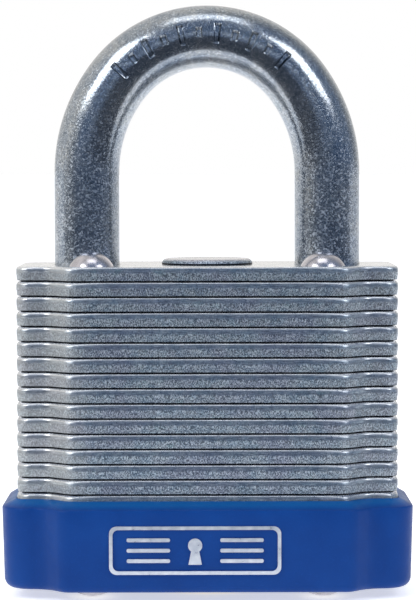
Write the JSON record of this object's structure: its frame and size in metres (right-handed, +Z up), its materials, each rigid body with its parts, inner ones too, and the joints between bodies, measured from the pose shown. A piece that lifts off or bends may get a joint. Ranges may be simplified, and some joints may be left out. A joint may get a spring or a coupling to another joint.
{
  "type": "laminated padlock",
  "caption": "Laminated steel padlock with a blue moulded bumper round its base, a sprung steel shackle held by two bolts, and a pin tumbler cylinder opened from below.",
  "frame": {"origin": "middle of the lock's plan, at the lowest point of the rivet heads under the bumper", "axes": "+Z up through the shackle, +X across the lock towards the heel leg, +Y from the front with the badge to the back"},
  "size_m": [0.05, 0.0253, 0.0722],
  "materials": {
    "plate_steel": "zinc plated, stamped edges",
    "shackle_steel": "zinc plated, speckled",
    "rivet_steel": "polished",
    "pin_steel": "bright",
    "bolt_steel": "stamped",
    "spring_steel": "drawn wire",
    "bumper_plastic": "fine moulded texture",
    "badge_metal": "satin silver",
    "plug_brass": "machined",
    "housing_brass": "machined",
    "pin_brass": "turned"
  },
  "bodies": {
    "lock_body": {"plate_01": "plate_steel", "plate_02": "plate_steel", "plate_03": "plate_steel", "plate_04": "plate_steel", "plate_05": "plate_steel", "plate_06": "plate_steel", "plate_07": "plate_steel", "plate_08": "plate_steel", "plate_09": "plate_steel", "plate_10": "plate_steel", "plate_11": "plate_steel", "plate_12": "plate_steel", "plate_13": "plate_steel", "plate_14": "plate_steel", "plate_15": "plate_steel", "plate_16": "plate_steel", "plate_17": "plate_steel", "plate_18": "plate_steel", "plate_19": "plate_steel", "plate_20": "plate_steel", "plate_21": "plate_steel", "bumper": "bumper_plastic", "badge": "badge_metal", "rivets": "rivet_steel", "retaining_pin": "pin_steel", "cylinder_housing": "housing_brass", "chamber_cover": "housing_brass", "shackle_spring": "spring_steel", "driver_spring_1": "spring_steel", "driver_spring_2": "spring_steel", "driver_spring_3": "spring_steel", "driver_spring_4": "spring_steel", "driver_spring_5": "spring_steel"},
    "plug": {"plug": "plug_brass", "plug_clip": "spring_steel", "cam": "bolt_steel"},
    "left_bolt": {"left_bolt": "bolt_steel"},
    "right_bolt": {"right_bolt": "bolt_steel"},
    "shackle": {"shackle": "shackle_steel"},
    "key_pin_1": {"key_pin_1": "pin_brass"},
    "driver_pin_1": {"driver_pin_1": "pin_brass"},
    "key_pin_2": {"key_pin_2": "pin_brass"},
    "driver_pin_2": {"driver_pin_2": "pin_brass"},
    "key_pin_3": {"key_pin_3": "pin_brass"},
    "driver_pin_3": {"driver_pin_3": "pin_brass"},
    "key_pin_4": {"key_pin_4": "pin_brass"},
    "driver_pin_4": {"driver_pin_4": "pin_brass"},
    "key_pin_5": {"key_pin_5": "pin_brass"},
    "driver_pin_5": {"driver_pin_5": "pin_brass"}
  },
  "joints": [
    {"name": "plug_turn", "type": "hinge", "parent": "lock_body", "child": "plug", "pos_m": [0, 0, 0.013], "axis": [0, 0, -1], "range_deg": [0, 90]},
    {"name": "left_bolt_slide", "type": "slide", "parent": "lock_body", "child": "left_bolt", "axis": [1, 0, 0], "range_m": [0, 0.00594]},
    {"name": "right_bolt_slide", "type": "slide", "parent": "lock_body", "child": "right_bolt", "axis": [-1, 0, 0], "range_m": [0, 0.00594]},
    {"name": "shackle_lift", "type": "slide", "parent": "lock_body", "child": "shackle", "axis": [0, 0, 1], "range_m": [0, 0.012], "deforming": ["shackle_spring"]},
    {"name": "key_pin_1_slide", "type": "slide", "parent": "plug", "child": "key_pin_1", "axis": [1, 0, 0], "range_m": [0, 0.0015]},
    {"name": "driver_pin_1_slide", "type": "slide", "parent": "lock_body", "child": "driver_pin_1", "axis": [-1, 0, 0], "range_m": [0, 0.0015], "stiffness_N_per_m": 30, "springref_m": -0.002, "deforming": ["driver_spring_1"]},
    {"name": "key_pin_2_slide", "type": "slide", "parent": "plug", "child": "key_pin_2", "axis": [1, 0, 0], "range_m": [0, 0.0015]},
    {"name": "driver_pin_2_slide", "type": "slide", "parent": "lock_body", "child": "driver_pin_2", "axis": [-1, 0, 0], "range_m": [0, 0.0015], "stiffness_N_per_m": 30, "springref_m": -0.002, "deforming": ["driver_spring_2"]},
    {"name": "key_pin_3_slide", "type": "slide", "parent": "plug", "child": "key_pin_3", "axis": [1, 0, 0], "range_m": [0, 0.0015]},
    {"name": "driver_pin_3_slide", "type": "slide", "parent": "lock_body", "child": "driver_pin_3", "axis": [-1, 0, 0], "range_m": [0, 0.0015], "stiffness_N_per_m": 30, "springref_m": -0.002, "deforming": ["driver_spring_3"]},
    {"name": "key_pin_4_slide", "type": "slide", "parent": "plug", "child": "key_pin_4", "axis": [1, 0, 0], "range_m": [0, 0.0015]},
    {"name": "driver_pin_4_slide", "type": "slide", "parent": "lock_body", "child": "driver_pin_4", "axis": [-1, 0, 0], "range_m": [0, 0.0015], "stiffness_N_per_m": 30, "springref_m": -0.002, "deforming": ["driver_spring_4"]},
    {"name": "key_pin_5_slide", "type": "slide", "parent": "plug", "child": "key_pin_5", "axis": [1, 0, 0], "range_m": [0, 0.0015]},
    {"name": "driver_pin_5_slide", "type": "slide", "parent": "lock_body", "child": "driver_pin_5", "axis": [-1, 0, 0], "range_m": [0, 0.0015], "stiffness_N_per_m": 30, "springref_m": -0.002, "deforming": ["driver_spring_5"]}
  ],
  "couplings": [
    {"joint": "plug_turn", "follows": "shackle_lift", "rad_per_m": 130.9},
    {"joint": "left_bolt_slide", "follows": "shackle_lift", "ratio": 0.495},
    {"joint": "right_bolt_slide", "follows": "shackle_lift", "ratio": 0.495}
  ]
}
